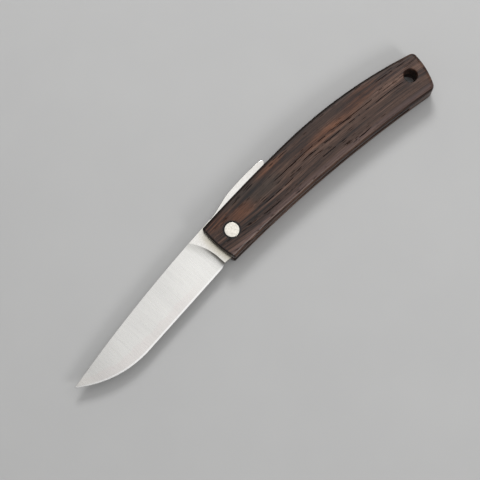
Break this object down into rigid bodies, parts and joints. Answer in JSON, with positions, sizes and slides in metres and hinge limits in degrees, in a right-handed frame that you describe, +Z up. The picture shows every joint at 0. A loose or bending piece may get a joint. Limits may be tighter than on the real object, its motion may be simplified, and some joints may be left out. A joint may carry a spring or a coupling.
{
  "type": "folding pocket knife",
  "caption": "Friction folding pocket knife, shown open: flat-ground steel blade with an integral thumb lever, dark wooden scales, riveted pivot and a lanyard hole through the butt.",
  "frame": {"origin": "under the middle of the open knife's box, in the plane of the rear scale's outer face, on which it lies", "axes": "+X along the open knife towards the butt, +Y towards the back of the handle and the spine of the blade, +Z up through the front scale"},
  "size_m": [0.1898, 0.0288, 0.0106],
  "materials": {
    "blade_steel": "satin, with fine finish lines across the blade",
    "scale_wood": "dark open-pored hardwood, oiled, grain along the handle",
    "spacer_wood": "the same dark hardwood as the scales, oiled",
    "rivet_steel": "faced flat and lightly polished",
    "washer_bronze": "plain rolled sheet",
    "dowel_steel": "plain drawn wire"
  },
  "bodies": {
    "handle": {"front_scale": "scale_wood", "rear_scale": "scale_wood", "back_spacer": "spacer_wood", "pivot_barrel": "rivet_steel", "pivot_post": "rivet_steel", "front_washer": "washer_bronze", "rear_washer": "washer_bronze", "front_dowel": "dowel_steel", "middle_dowel": "dowel_steel", "rear_dowel": "dowel_steel"},
    "blade": {"blade": "blade_steel"}
  },
  "joints": [
    {"name": "blade_pivot", "type": "hinge", "parent": "handle", "child": "blade", "pos_m": [-0.00877, -0.00029, 0.00528], "axis": [0, 0, 1], "range_deg": [0, 174]}
  ]
}
